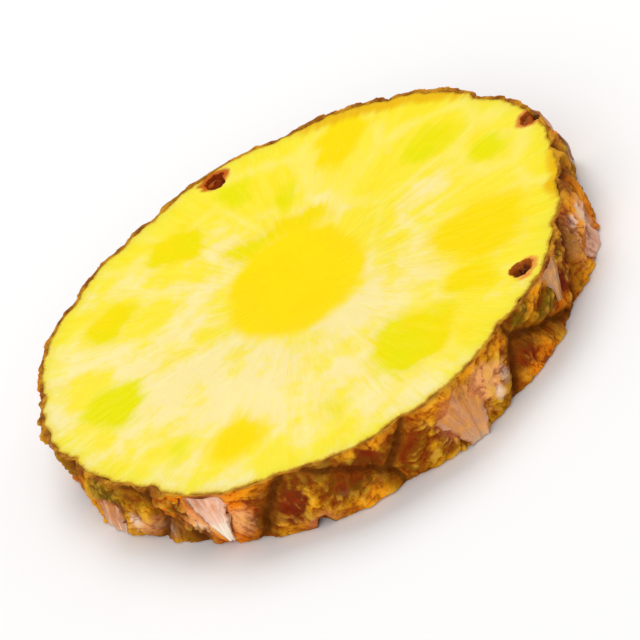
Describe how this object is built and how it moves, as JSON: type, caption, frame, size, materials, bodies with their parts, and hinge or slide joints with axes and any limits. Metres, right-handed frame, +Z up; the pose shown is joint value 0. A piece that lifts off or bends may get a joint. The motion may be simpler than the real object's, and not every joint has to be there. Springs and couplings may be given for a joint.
{
  "type": "pineapple slice",
  "caption": "Round slice of pineapple cut across the fruit, core in and rind on, with furrowed rind, pointed scales and hollows of cut eyes",
  "frame": {"origin": "middle of the lower cut face, on the axis of the fruit", "axes": "+Z up through the thickness; +X and +Y in the plane of the cut; the slice lies flat as on a board"},
  "size_m": [0.1187, 0.1178, 0.0132],
  "materials": {
    "flesh": "moist cut fruit flesh, pale yellow with deeper golden core and blotches",
    "rind": "rough rind, orange tan with olive brown furrows",
    "scale": "dry papery scales, pinkish tan with cream tips",
    "eye_hollow": "dark red brown lining and dried flower remains"
  },
  "bodies": {
    "root": {"pineapple_slice": "flesh"}
  },
  "joints": []
}
